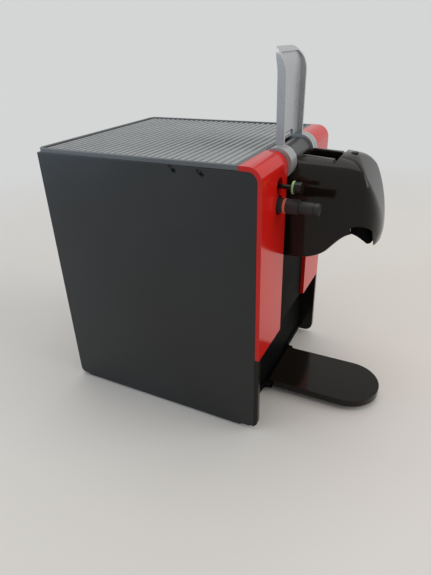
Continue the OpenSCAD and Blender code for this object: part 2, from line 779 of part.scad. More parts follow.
support_low = support_top - support_t;
lip_t = 1.5;
pin_y = drawer_y - lip_t - support_t / 2 - gap;
pin_z = support_top - support_t / 2;
support_hw = support_w / 2;
ear_w = 3;
ear_fillet = 6;

// The drawer's face, with the ears that carry the cup support
module drawer_front() {
    hw = leg_in - gap;
    ear_x = support_hw + gap;
    color([0.03, 0.03, 0.035]) difference() {
        union() {
            box([-hw, drawer_y, support_low], [hw, drawer_y + 3, shell_z - gap]);
            box([-hw, drawer_y - lip_t, support_low], [hw, drawer_y + 1, support_top]);
            for (s = [0, 1]) mirror([s, 0, 0]) translate([0, 0, support_low]) linear_extrude(support_t)
                difference() {
                    translate([ear_x, pin_y - support_t / 2])
                        square([ear_w + ear_fillet, drawer_y - lip_t / 2 - pin_y + support_t / 2]);
                    translate([ear_x + ear_w + ear_fillet, drawer_y - lip_t - ear_fillet]) circle(ear_fillet);
                    translate([ear_x + ear_w, pin_y - support_t]) square([ear_fillet + 1,
                        drawer_y - lip_t - ear_fillet - pin_y + support_t]);
                }
        }
        rod_x([-half_w, pin_y, pin_z], support_pin_r + seat / 5, body_w);
    }
}
module support_pin() {
    color([0.7, 0.7, 0.72]) rod_x([-support_hw - gap - ear_w, pin_y, pin_z], support_pin_r,
        2 * (support_hw + gap + ear_w));
}
module cup_support() {
    color([0.03, 0.03, 0.035]) difference() {
        union() {
            translate([0, 0, support_low]) linear_extrude(support_t) {
                translate([-support_hw, tip_y + support_hw]) square([support_w, pin_y - tip_y - support_hw]);
                translate([0, tip_y + support_hw]) circle(support_hw, $fn = 96);
            }
            rod_x([-support_hw, pin_y, pin_z], support_t / 2, support_w);
        }
        rod_x([-support_hw - 1, pin_y, pin_z], support_pin_r + running, support_w + 2);
    }
}
tip_y = front_y - support_reach;

bin_hw = bin_w / 2;
tray_z = floor_z + gap;
module drip_tray() {
    color([0.08, 0.08, 0.085]) open_box([-leg_in + 3, drawer_y + 3, tray_z],
        [leg_in - 3, bay_y - 26, tray_z + 18], bin_wall);
}
module pod_bin() {
    color([0.12, 0.12, 0.125]) open_box([-bin_hw, drawer_y + 3 + bin_wall + seat, tray_z + bin_wall],
        [bin_hw, bay_y - 36, shell_z - 2.5], bin_wall);
}

chute_hw = head_in + 2;
chute_back = bulkhead_y + 36;
module pod_chute() {
    color([0.25, 0.25, 0.26]) difference() {
        box([-chute_hw, bulkhead_y + frame_t, shelf_z - 2], [chute_hw, chute_back, brew_z - sleeve_r - 2]);
        box([-chute_hw + 1.8, bulkhead_y, shelf_z - 3], [chute_hw - 1.8, chute_back - 1.8, brew_z]);
    }
}

// Equipment on the shelf
deck_z = shelf_z + frame_t;
pump_x = -chute_hw - pump_r - 6.6;
pump_y = bulkhead_y + 39.5;
pump_l = bay_y - pump_clear - pump_y;
pump_z = deck_z + pump_r + 8;
neck_r = 8;
neck_l = 8;
module pump() {
    color([0.45, 0.45, 0.48]) {
        rod_y([pump_x, pump_y, pump_z], pump_r, pump_l);
        rod_y([pump_x, pump_y - neck_l, pump_z], neck_r, pump_l + 2 * neck_l);
    }
}
module pump_mounts() {
    color([0.04, 0.04, 0.04]) for (y = [pump_y - neck_l + 1, pump_y + pump_l + 1]) difference() {
        box([pump_x - 12, y, deck_z], [pump_x + 12, y + 6, pump_z + 11]);
        rod_y([pump_x, y - 1, pump_z], neck_r + seat / 2, 8);
    }
}
heater_x = chute_hw + 7.6;
heater_w = half_w - heater_side - heater_x;
heater_y = bulkhead_y + 27.5;
heater_l = bay_y - heater_clear - heater_y;
module heater_block() {
    color([0.6, 0.6, 0.62]) {
        box([heater_x, heater_y, deck_z + 2], [heater_x + heater_w, heater_y + heater_l, deck_z + 2 + heater_h]);
        for (x = [4, heater_w - 10], y = [4, heater_l - 10])
            box([heater_x + x, heater_y + y, deck_z], [heater_x + x + 6, heater_y + y + 6, deck_z + 2]);
    }
}
module heater_thermostats() {
    color([0.75, 0.75, 0.72]) for (y = [heater_l * 0.45, heater_l * 0.75])
        rod_z([heater_x + heater_w / 2, heater_y + y, deck_z + 2 + heater_h], 8, 9);
}
meter_y = bay_y - 34;
meter_z = deck_z + 7;
module flow_meter() {
    color([0.7, 0.72, 0.75]) {
        rod_z([0, meter_y, deck_z], 12, 14);
        rod_z([0, meter_y, deck_z + 14], 6, 4);
    }
}

// A hose through a list of points
module hose(p, r) {
    for (i = [0 : len(p) - 2]) {
        d = p[i + 1] - p[i];
        translate(p[i]) rotate([0, acos(d[2] / norm(d)), atan2(d[1], d[0])]) cylinder(r = r, h = norm(d));
        if (i > 0) translate(p[i]) sphere(r);
    }
}
run_x = -chute_hw - 3.2;
module suction_hose() {
    color([0.85, 0.85, 0.82]) {
        hose([[0, bay_y - 8 - seat, valve_z], [0, bay_y - 14, valve_z], [0, bay_y - 14, meter_z],
            [0, meter_y + 12 + seat, meter_z]], hose_r);
        hose([[-12 - seat, meter_y, meter_z], [run_x, meter_y, meter_z],
            [run_x, pump_y - 16, meter_z], [pump_x, pump_y - 16, meter_z],
            [pump_x, pump_y - 16, pump_z], [pump_x, pump_y - neck_l - seat, pump_z]], hose_r);
    }
}
module pressure_hose() {
    x = heater_x + heater_w / 2;
    y0 = pump_y + pump_l + neck_l + seat;
    yr = bay_y - 5;
    zr = deck_z + 2 + heater_h - 8;
    color([0.85, 0.85, 0.82])
        hose([[pump_x, y0, pump_z], [pump_x, yr, pump_z], [pump_x, yr, zr], [x, yr, zr],
            [x, heater_y + heater_l + seat, zr]], hose_r);
}
module brew_hose() {
    x = heater_x + heater_w / 2;
    y = heater_y + 10;
    color([0.85, 0.85, 0.82])
        hose([[x, y, deck_z + 2 + heater_h + seat], [x, y, brew_z], [0, y, brew_z],
            [0, column_y + 37 + seat, brew_z]], hose_r);
}

board_w = 52;
board_h = 66;
module control_board() {
    x0 = -in_w + 10;
    z0 = top_z - rim_h - 12 - board_h;
    color([0.08, 0.3, 0.14]) {
        box([x0, bay_y - 6.6, z0], [x0 + board_w, bay_y - 5, z0 + board_h]);
        for (x = [4, board_w - 4], z = [4, board_h - 4]) rod_y([x0 + x, bay_y - 5, z0 + z], 2.5, 5);
        box([x0 + 8, bay_y - 22, z0 + 8], [x0 + 26, bay_y - 6.6, z0 + 30]);
        box([x0 + 31, bay_y - 16, z0 + 10], [x0 + 44, bay_y - 6.6, z0 + 22]);
        rod_y([x0 + 16, bay_y - 20, z0 + 46], 7, 13.4);
    }
}

base_pan();
rubber_feet();
left_side_panel();
right_side_panel();
rear_panel();
left_front_shell();
right_front_shell();
left_leg();
right_leg();
centre_column();
top_frame();
cup_tray();
front_bulkhead();
equipment_shelf();
tank_bay_wall();
head_shell();
head_barrel();
spout_outlet();
needle_plate();
lever_pad();
brew_sleeve();
brew_piston();
lever();
left_hub();
right_hub();
lever_axle();
upper_button();
upper_ring();
lower_button();
lower_ring();
button_guide();
switch_block();
drawer_front();
pod_bin();
drip_tray();
cup_support();
support_pin();
water_tank();
tank_coupler();
tank_valve_seat();
pump();
pump_mounts();
heater_block();
heater_thermostats();
flow_meter();
suction_hose();
pressure_hose();
brew_hose();
control_board();
power_inlet();
pod_chute();
case_screws();
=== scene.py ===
import json
import math

import bmesh
import bpy
from mathutils import Matrix, Vector

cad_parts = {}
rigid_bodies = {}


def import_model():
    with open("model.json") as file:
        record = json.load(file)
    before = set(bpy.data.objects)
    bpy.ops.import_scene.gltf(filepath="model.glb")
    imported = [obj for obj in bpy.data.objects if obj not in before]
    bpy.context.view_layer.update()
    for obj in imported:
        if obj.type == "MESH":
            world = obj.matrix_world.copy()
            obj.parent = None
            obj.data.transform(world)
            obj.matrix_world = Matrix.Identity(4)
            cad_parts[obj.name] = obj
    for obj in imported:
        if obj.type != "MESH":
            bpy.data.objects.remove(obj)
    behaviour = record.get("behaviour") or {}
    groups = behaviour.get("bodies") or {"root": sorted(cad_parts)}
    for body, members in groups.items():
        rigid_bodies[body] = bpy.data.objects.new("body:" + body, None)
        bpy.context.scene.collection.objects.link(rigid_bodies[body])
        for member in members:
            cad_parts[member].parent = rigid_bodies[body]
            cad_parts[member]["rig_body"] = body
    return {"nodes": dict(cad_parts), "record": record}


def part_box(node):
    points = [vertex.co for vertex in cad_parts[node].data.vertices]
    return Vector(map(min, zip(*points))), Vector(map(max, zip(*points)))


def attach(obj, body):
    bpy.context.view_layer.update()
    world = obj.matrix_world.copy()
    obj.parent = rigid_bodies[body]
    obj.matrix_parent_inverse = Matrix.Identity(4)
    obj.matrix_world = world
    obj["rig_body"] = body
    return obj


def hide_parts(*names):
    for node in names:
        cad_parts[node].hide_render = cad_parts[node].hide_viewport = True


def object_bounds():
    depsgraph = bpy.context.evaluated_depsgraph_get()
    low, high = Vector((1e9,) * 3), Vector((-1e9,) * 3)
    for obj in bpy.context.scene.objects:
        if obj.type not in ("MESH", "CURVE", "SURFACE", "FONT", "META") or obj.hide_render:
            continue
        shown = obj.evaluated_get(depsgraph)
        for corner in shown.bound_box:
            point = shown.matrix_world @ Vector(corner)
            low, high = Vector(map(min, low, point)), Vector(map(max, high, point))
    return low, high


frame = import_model()
cadLow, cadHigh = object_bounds()
nodes = frame["nodes"]
mm = 0.001
print("frame loaded:", len(nodes), "nodes")

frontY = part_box("left_front_shell")[0].y  # face of the red shells
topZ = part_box("left_front_shell")[1].z
halfWidth = cadHigh.x

cameraView = {"place": (-0.38296, -0.16847, 0.32087), "azimuth": -62.868, "elevation": 28.391,
              "roll": -1.862, "lens": 28.76}


# Azimuth is measured from straight in front, elevation from level
def makeCamera(view):
    data = bpy.data.cameras.new("camera")
    data.lens = view["lens"]
    data.sensor_width = 36
    data.clip_start = 0.01
    camera = bpy.data.objects.new("camera", data)
    bpy.context.scene.collection.objects.link(camera)
    a, e, r = (math.radians(view[k]) for k in ("azimuth", "elevation", "roll"))
    back = Vector((math.sin(a) * math.cos(e), -math.cos(a) * math.cos(e), math.sin(e)))
    right = Vector((0, 0, 1)).cross(back).normalized()
    up = back.cross(right)
    turnedRight = right * math.cos(r) + up * math.sin(r)
    turnedUp = back.cross(turnedRight)
    turn = Matrix((turnedRight, turnedUp, back)).transposed()
    camera.matrix_world = Matrix.Translation(view["place"]) @ turn.to_4x4()
    bpy.context.scene.camera = camera


makeCamera(cameraView)


# A socket that takes part in Python expressions: each one adds its Math nodes
class Wire:
    def __init__(self, tree, socket=None):
        self.tree, self.socket = tree, socket

    def add(self, kind, settings=None, inputs=None, output=0):
        made = self.tree.nodes.new(kind)
        for key, value in (settings or {}).items():
            setattr(made, key, value)
        for key, value in (inputs or {}).items():
            if isinstance(value, Wire):
                self.tree.links.new(value.socket, made.inputs[key])
            else:
                made.inputs[key].default_value = value
        return Wire(self.tree, made.outputs[output])

    def math(self, operation, *values):
        return self.add("ShaderNodeMath", {"operation": operation}, dict(enumerate(values)))

    def __add__(self, other):
        return self.math("ADD", self, other)

    __radd__ = __add__

    def __sub__(self, other):
        return self.math("SUBTRACT", self, other)

    def __rsub__(self, other):
        return self.math("SUBTRACT", other, self)

    def __mul__(self, other):
        return self.math("MULTIPLY", self, other)

    __rmul__ = __mul__

    def step(self, low, high):  # soft step from 0 at low to 1 at high
        return self.add("ShaderNodeMapRange", {"interpolation_type": "SMOOTHSTEP"},
                        {"Value": self, "From Min": low, "From Max": high})

    def mix(self, first, second):  # colour mix, with this value as the factor
        return self.add("ShaderNodeMix", {"data_type": "RGBA"}, {0: self, 6: first, 7: second}, output=2)


def colour(r, g, b):
    return (r, g, b, 1.0)


def newMaterial(name):
    material = bpy.data.materials.new(name)
    material.use_nodes = True
    tree = material.node_tree
    surface = tree.nodes["Principled BSDF"]
    wire = Wire(tree)
    place = wire.add("ShaderNodeTexCoord", output="Object")
    return material, surface, wire, place


def connect(wire, source, surface, name):
    wire.tree.links.new(source.socket, surface.inputs[name])


# Moulded, painted or turned surface: slow clouds of tone, fine speckle, rubbed patches and a grain bump.
# A look gives the two tones, the scales of clouds and grain per metre, roughness, bump and its depth.
def mouldedFinish(name, look):
    material, surface, wire, place = newMaterial(name)
    stretch = wire.add("ShaderNodeMapping", {}, {"Vector": place, "Scale": look.get("stretch", (1, 1, 1))})
    clouds = wire.add("ShaderNodeTexNoise", {},
                      {"Vector": place, "Scale": look["cloud"], "Detail": 4.0, "Roughness": 0.55})
    speckle = wire.add("ShaderNodeTexNoise", {},
                       {"Vector": stretch, "Scale": look["grain"] * 0.6, "Detail": 2.0})
    grain = wire.add("ShaderNodeTexNoise", {}, {"Vector": stretch, "Scale": look["grain"], "Detail": 3.0})
    tone = clouds.step(0.3, 0.7) * 0.7 + speckle * 0.3
    connect(wire, tone.mix(colour(*look["dark"]), colour(*look["light"])), surface, "Base Color")
    low, high = look["rough"]
    rubbed = clouds.step(0.35, 0.65)
    roughness = rubbed * (high - low) * 0.7 + speckle * (high - low) * 0.6 + low
    connect(wire, roughness, surface, "Roughness")
    bump = wire.add("ShaderNodeBump", {},
                    {"Height": grain, "Strength": look["bump"], "Distance": look["depth"]})
    connect(wire, bump, surface, "Normal")
    surface.inputs["Metallic"].default_value = look.get("metal", 0.0)
    surface.inputs["IOR"].default_value = look.get("ior", 1.5)
    surface.inputs["Specular IOR Level"].default_value = look.get("shine", 0.5)
    surface.inputs["Alpha"].default_value = look.get("alpha", 1.0)
    return material


# Charcoal side panels: slow clouds between a darker and a lighter tone. The bluish tint of the lighter tone
# is a painted reflection of a window, and the warm tint of the darker tone is a painted reflection of a
# warm room.
panelSheenLook = {"dark": (0.0082, 0.0080, 0.0075), "light": (0.0125, 0.0130, 0.0136),
    "cloud": 9.0, "grain": 1500.0, "rough": (0.28, 0.35), "bump": 0.25, "depth": 0.00004, "shine": 0.40}
panelSheenFinish = mouldedFinish("panelCharcoalSheen", panelSheenLook)

# Two small dark rubs near the top edge of the left panel: their places along Y and Z, reach and tilt
scuffLook = {"places": [(0.0143, 0.2368), (-0.0093, 0.2359)], "long": 0.0048, "thin": 0.0024, "tilt": 38,
    "fade": (0.35, 1.1), "grain": 420.0, "specks": (0.36, 0.50), "cover": 0.95,
    "tone": (0.0015, 0.0015, 0.0015), "rough": 0.75, "shine": 0.05}


# The left panel: its scuffs are real rubs, and its base tones carry the painted bluish and warm reflection
# tints of the panels.
def scuffedAndSheenPanel(look):
    material = mouldedFinish("panelScuffedAndSheen", panelSheenLook)
    tree = material.node_tree
    wire = Wire(tree)
    place = wire.add("ShaderNodeTexCoord", output="Object")
    specks = wire.add("ShaderNodeTexNoise", {}, {"Vector": place, "Scale": look["grain"], "Detail": 2.0})
    marks = None
    for y, z in look["places"]:
        turned = wire.add("ShaderNodeMapping", {"vector_type": "TEXTURE"},
                          {"Vector": place, "Location": (-halfWidth, y, z),
                           "Rotation": (math.radians(look["tilt"]), 0, 0),
                           "Scale": (1.0, look["long"], look["thin"])})
        away = wire.add("ShaderNodeVectorMath", {"operation": "LENGTH"}, {0: turned}, output="Value")
        mark = (1.0 - away.step(*look["fade"])) * specks.step(*look["specks"])
        marks = mark if marks is None else marks + mark
    panel = Wire(tree, tree.nodes["Principled BSDF"].outputs[0])
    rub = wire.add("ShaderNodeBsdfPrincipled", {},
                   {"Base Color": colour(*look["tone"]), "Roughness": look["rough"],
                    "Specular IOR Level": look["shine"]})
    both = wire.add("ShaderNodeMixShader", {}, {0: marks * look["cover"], 1: panel, 2: rub})
    tree.links.new(both.socket, tree.nodes["Material Output"].inputs["Surface"])
    return material


scuffedAndSheenFinish = scuffedAndSheenPanel(scuffLook)
rimFinish = mouldedFinish("rimGrey", {"dark": (0.070, 0.0735, 0.076), "light": (0.089, 0.093, 0.0955),
    "cloud": 12.0, "grain": 1500.0, "rough": (0.36, 0.44), "bump": 0.2, "depth": 0.00004})
trayFinish = mouldedFinish("trayGrey", {"dark": (0.235, 0.248, 0.256), "light": (0.292, 0.306, 0.314),
    "cloud": 14.0, "grain": 1300.0, "rough": (0.36, 0.46), "bump": 0.25, "depth": 0.00005})
redFinish = mouldedFinish("shellRed", {"dark": (0.47, 0.0065, 0.0040), "light": (0.55, 0.0095, 0.0055),
    "cloud": 7.0, "grain": 900.0, "rough": (0.12, 0.18), "bump": 0.02, "depth": 0.00002, "ior": 1.40})
columnFinish = mouldedFinish("columnBlack",
    {"dark": (0.0022, 0.0024, 0.0026), "light": (0.0042, 0.0043, 0.0044), "cloud": 18.0, "grain": 1200.0,
    "rough": (0.46, 0.58), "bump": 0.2, "depth": 0.00004, "shine": 0.02})
pinFinish = mouldedFinish("pinDark", {"dark": (0.010, 0.010, 0.010), "light": (0.018, 0.018, 0.018),
    "cloud": 60.0, "grain": 1600.0, "rough": (0.40, 0.52), "bump": 0.2, "depth": 0.00003, "metal": 0.2})
# Black gloss plastic, with both tones tinted brown as a painted reflection of a warm room.
glossReflectionTintFinish = mouldedFinish("glossBlackReflectionTint",
    {"dark": (0.0085, 0.0066, 0.0048), "light": (0.0125, 0.0100, 0.0075), "cloud": 8.0, "grain": 900.0,
    "rough": (0.08, 0.14), "bump": 0.02, "depth": 0.00002, "ior": 1.31})
barrelFinish = mouldedFinish("barrelSatin", {"dark": (0.030, 0.030, 0.031), "light": (0.042, 0.042, 0.042),
    "cloud": 40.0, "grain": 1800.0, "rough": (0.30, 0.38), "bump": 0.2, "depth": 0.00004})
mattFinish = mouldedFinish("mattBlack", {"dark": (0.008, 0.008, 0.008), "light": (0.014, 0.014, 0.014),
    "cloud": 30.0, "grain": 1500.0, "rough": (0.50, 0.62), "bump": 0.3, "depth": 0.00005})
leverFinish = mouldedFinish("leverSilver", {"dark": (0.362, 0.372, 0.386), "light": (0.432, 0.442, 0.456),
    "cloud": 22.0, "grain": 2200.0, "rough": (0.24, 0.32), "bump": 0.12, "depth": 0.00003, "metal": 0.45})
hubFinish = mouldedFinish("hubSilver", {"dark": (0.298, 0.308, 0.316), "light": (0.372, 0.382, 0.390),
    "cloud": 45.0, "grain": 2200.0, "rough": (0.30, 0.38), "bump": 0.12, "depth": 0.00003, "metal": 0.45})
steelFinish = mouldedFinish("turnedSteel", {"dark": (0.48, 0.48, 0.49), "light": (0.60, 0.60, 0.61),
    "cloud": 60.0, "grain": 2600.0, "stretch": (12, 1, 1), "rough": (0.20, 0.32), "bump": 0.2,
    "depth": 0.00003, "metal": 1.0})
rubberFinish = mouldedFinish("footRubber", {"dark": (0.012, 0.012, 0.012), "light": (0.022, 0.022, 0.022),
    "cloud": 35.0, "grain": 900.0, "rough": (0.70, 0.82), "bump": 0.4, "depth": 0.00008})
tankFinish = mouldedFinish("tankSmoke", {"dark": (0.030, 0.034, 0.038), "light": (0.042, 0.047, 0.052),
    "cloud": 6.0, "grain": 700.0, "rough": (0.08, 0.14), "bump": 0.02, "depth": 0.00002, "alpha": 0.72})
castFinish = mouldedFinish("castAluminium", {"dark": (0.42, 0.42, 0.43), "light": (0.55, 0.55, 0.56),
    "cloud": 30.0, "grain": 600.0, "rough": (0.42, 0.58), "bump": 0.5, "depth": 0.0001, "metal": 0.9})
hoseFinish = mouldedFinish("hoseSilicone", {"dark": (0.62, 0.61, 0.57), "light": (0.72, 0.71, 0.68),
    "cloud": 40.0, "grain": 800.0, "rough": (0.40, 0.52), "bump": 0.15, "depth": 0.00005})
whiteFinish = mouldedFinish("valveWhite", {"dark": (0.56, 0.55, 0.51), "light": (0.66, 0.65, 0.61),
    "cloud": 40.0, "grain": 1300.0, "rough": (0.36, 0.46), "bump": 0.15, "depth": 0.00004})
innerFinish = mouldedFinish("innerGrey", {"dark": (0.085, 0.085, 0.088), "light": (0.115, 0.115, 0.118),
    "cloud": 16.0, "grain": 1100.0, "rough": (0.45, 0.58), "bump": 0.3, "depth": 0.00006})
boardFinish = mouldedFinish("boardGreen", {"dark": (0.012, 0.075, 0.026), "light": (0.020, 0.105, 0.038),
    "cloud": 50.0, "grain": 500.0, "rough": (0.30, 0.42), "bump": 0.2, "depth": 0.00006})
greenSealFinish = mouldedFinish("greenSeal", {"dark": (0.20, 0.40, 0.14), "light": (0.27, 0.50, 0.19),
    "cloud": 80.0, "grain": 1500.0, "rough": (0.38, 0.48), "bump": 0.15, "depth": 0.00004})
redSealFinish = mouldedFinish("redSeal", {"dark": (0.52, 0.12, 0.07), "light": (0.64, 0.17, 0.10),
    "cloud": 80.0, "grain": 1500.0, "rough": (0.38, 0.48), "bump": 0.15, "depth": 0.00004})

finishOfSlot = {"charcoal": panelSheenFinish, "dark_grey": rimFinish, "tray_grey": trayFinish,
    "red_gloss": redFinish, "gloss_black": glossReflectionTintFinish, "matt_black": mattFinish, "silver": leverFinish,
    "hub_silver": hubFinish, "steel": steelFinish, "rubber": rubberFinish, "smoke": tankFinish,
    "aluminium": castFinish, "hose": hoseFinish, "white_plastic": whiteFinish, "frame_grey": innerFinish,
    "board_green": boardFinish, "green_seal": greenSealFinish, "red_seal": redSealFinish}
slotOfNode = {part["node"]: part["material_slot"] for part in frame["record"]["subparts"]}
bodyOfNode = {name: obj["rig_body"] for name, obj in nodes.items()}
for name, obj in nodes.items():
    finish = finishOfSlot[slotOfNode[name]]
    if not obj.material_slots:
        obj.data.materials.append(finish)
    for hold in obj.material_slots:
        hold.material = finish
print("materials made:", len(finishOfSlot))


def newObject(name, mesh):
    obj = bpy.data.objects.new(name, mesh)
    bpy.context.scene.collection.objects.link(obj)
    return obj


def bakeModifiers(obj):
    graph = bpy.context.evaluated_depsgraph_get()
    finished = obj.evaluated_get(graph)
    mesh = bpy.data.meshes.new_from_object(finished, preserve_all_data_layers=True, depsgraph=graph)
    obj.modifiers.clear()
    obj.data = mesh


# Smooth faces, with an edge left sharp where it folds by more than the angle
def shadeByAngle(obj, degrees):
    bm = bmesh.new()
    bm.from_mesh(obj.data)
    limit = math.radians(degrees)
    for face in bm.faces:
        face.smooth = True
    for edge in bm.edges:
        edge.smooth = len(edge.link_faces) != 2 or edge.calc_face_angle(0) < limit
    bm.to_mesh(obj.data)
    bm.free()


def dress(obj, finish, body, replaced):  # material, body and the CAD nodes it stands for
    obj.data.materials.clear()
    obj.data.materials.append(finish)
    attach(obj, body)
    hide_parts(*replaced)


# Rounded edges: widths in millimetres, the weld in metres, angles in degrees. Wide ones take more segments.
softening = {"weld": 2e-6, "flat": 0.6, "fold": 30, "sharp": 40, "wide": 1.0, "segments": (2, 4)}
edgeRadius = {"left_side_panel": 0.5, "right_side_panel": 0.5, "left_front_shell": 0.45,
    "right_front_shell": 0.45, "left_leg": 0.8, "right_leg": 0.8, "centre_column": 0.4, "top_frame": 0.4,
    "rear_panel": 0.3, "base_pan": 0.4, "drawer_front": 0.5, "head_barrel": 0.4, "left_hub": 0.5,
    "right_hub": 0.5, "lever": 0.6, "lever_pad": 0.25, "cup_support": 1.8, "upper_button": 0.4,
    "lower_button": 0.4, "upper_ring": 0.2, "lower_ring": 0.2, "water_tank": 0.4, "power_inlet": 0.3,
    "rubber_feet": 0.4, "button_guide": 0.3, "lever_axle": 0.3, "support_pin": 0.2, "spout_outlet": 0.5}
ownFinish = {"head_barrel": barrelFinish, "centre_column": columnFinish, "support_pin": pinFinish,
    "spout_outlet": columnFinish, "drawer_front": columnFinish, "left_side_panel": scuffedAndSheenFinish}


# A CAD node's shape with its loose triangles joined, its flats cleared and its edges rounded
def softCopy(node, width, look):
    bm = bmesh.new()
    bm.from_mesh(nodes[node].data)
    bmesh.ops.remove_doubles(bm, verts=bm.verts, dist=look["weld"])
    bmesh.ops.dissolve_limit(bm, angle_limit=math.radians(look["flat"]), verts=bm.verts, edges=bm.edges)
    mesh = bpy.data.meshes.new("soft_" + node)
    bm.to_mesh(mesh)
    bm.free()
    obj = newObject("soft_" + node, mesh)
    bevel = obj.modifiers.new("edges", "BEVEL")
    bevel.width, bevel.segments = width * mm, look["segments"][width > look["wide"]]
    bevel.limit_method, bevel.angle_limit = "ANGLE", math.radians(look["fold"])
    bevel.use_clamp_overlap = True
    bevel.harden_normals = False
    bakeModifiers(obj)
    shadeByAngle(obj, look["sharp"])
    weigh = obj.modifiers.new("weigh", "WEIGHTED_NORMAL")
    weigh.keep_sharp, weigh.weight = True, 100
    bakeModifiers(obj)
    slot = slotOfNode[node]
    dress(obj, ownFinish.get(node, finishOfSlot[slot]), bodyOfNode[node], [node])


for node, width in edgeRadius.items():
    softCopy(node, width, softening)
print("softened pieces:", len(edgeRadius))


# The head is a loft of its side outline, narrowed by the plan of the nose and by the shoulders.
# Points are millimetres in front of the shells and below the top.
headShape = {"halfWidth": 29.0, "nose": 74.2, "back": -3.4, "backTop": 8.0,
    "turn": (18.0, 4.0, 0.52), "clipFrom": 8, "clipRound": (3.0, 11.0),  # plan of the nose
    "flat": 8.0, "shoulderLow": 30.0, "top": 5.0, "lowRound": 3.0,  # cross section
    "blend": (0.8, 5.0), "blendStart": 34, "blendReach": 10, "blendAcross": 12,  # crown into shoulder
    "under": [[(-3.4, 91.5), (12, 91.5), (24, 90), (33, 81.8)],
              [(33.8, 81), (39, 75.5), (45, 66.5), (52, 64.3)]],
    "tip": [(60.0, 68.5), (69.4, 73.6), (70.3, 74.4)], "tipRound": [(71.5, 74.5), (72.8, 73.2)],
    "front": [(73.8, 67), (73.8, 47.6), (58.6, 5.2), (42, 5.2)],
    "ramp": [(42.0, 5.2), (36.2, 5.2), (32.1, 10.5), (31.0, 8.3)],
    "wallTop": [(31.0, 8.3), (8.0, 6.6), (3.0, 7.4)],
    "steps": {"under": 16, "front": 40, "plan": 26}, "gaps": {"tip": 2.0, "ramp": 0.8, "wall": 2.5},
    "weld": 2e-5, "edge": 0.45, "edgeFold": 38, "sharp": 42}

# What is cut out of the head. archCurve, archTip, pocketFront and plan count from the nose,
# the rest from the shells.
headCuts = {"archCurve": [(-23.2, 59.7), (-22.2, 55), (-8.2, 54), (-6.2, 61.2)],
    "archTip": [(-4.8, 71.6), (-4.0, 82)], "archBack": [(50.0, 82), (52.1, 64.2)], "archHalf": 32,
    "pocketBack": 50.8, "pocketTop": 44, "pocketLow": 82, "pocketHalf": 26.2,
    "pocketFront": [(-9.5, 44), (-4.2, 58), (-3.8, 82)],
    "plan": [(26.4, -20.6), (26.4, -6.6), (13.7, -2.6), (0, -2.6)], "planBack": 40.0, "planDepth": (40, 90),
    "slotHalf": 12.75, "slotFrom": 3.0, "slotTo": 32.0, "slotRound": 4.0, "slotDepth": (-2, 20),
    "chamberCurve": [(-5, 88.9), (18, 88.9), (29, 81), (34, 76)], "chamberTop": [(34, 17.0), (-5, 17.0)],
    "chamberHalf": 23.5, "axle": (-9.5, 10.6), "barrelRound": 10.9, "barrelHalf": 23.1,
    "hubRound": 13.4, "hubInner": 22.7, "hubOuter": 40,
    "padAhead": 43.7, "padRound": 3.0, "padDepth": (0, 6.0)}


def curvePoints(p, count):  # points along a cubic curve with four control points
    made = []
    for k in range(count + 1):
        t = k / count
        u = 1 - t
        weights = (u ** 3, 3 * u * u * t, 3 * u * t * t, t ** 3)
        made.append(tuple(sum(w * v for w, v in zip(weights, axis)) for axis in zip(*p)))
    return made


def headPoint(x, f, d):  # f in front of the shells, d below the top
    return Vector((x * mm, frontY - f * mm, topZ - d * mm))


def softMax(a, b, k):  # the larger of the two, with the change between them rounded over k
    h = max(k - abs(a - b), 0.0) / k
    return max(a, b) + h * h * k / 4


def softMin(a, b, k):
    return -softMax(-a, -b, k)


def onPolyline(points, f):  # depth of the outline at a distance in front
    for (f0, d0), (f1, d1) in zip(points, points[1:]):
        if f <= f1:
            return d0 + (d1 - d0) * max(0.0, f - f0) / (f1 - f0)
    return points[-1][1]


def denser(points, gap):  # the same outline, with points no further apart than the gap
    made = [points[0]]
    for a, b in zip(points, points[1:]):
        count = max(1, math.ceil(math.dist(a, b) / gap))
        made += [tuple(p + (q - p) * k / count for p, q in zip(a, b)) for k in range(1, count + 1)]
    return made


def headOutline(look, under):
    steps, gaps = look["steps"], look["gaps"]
    outline = under + denser([under[-1]] + look["tip"], gaps["tip"])[1:] + look["tipRound"]
    outline += curvePoints(look["front"], steps["front"])
    outline += denser(look["ramp"], gaps["ramp"])[1:]
    outline += denser(look["wallTop"] + [(look["back"], look["backTop"])], gaps["wall"])[1:]
    return outline


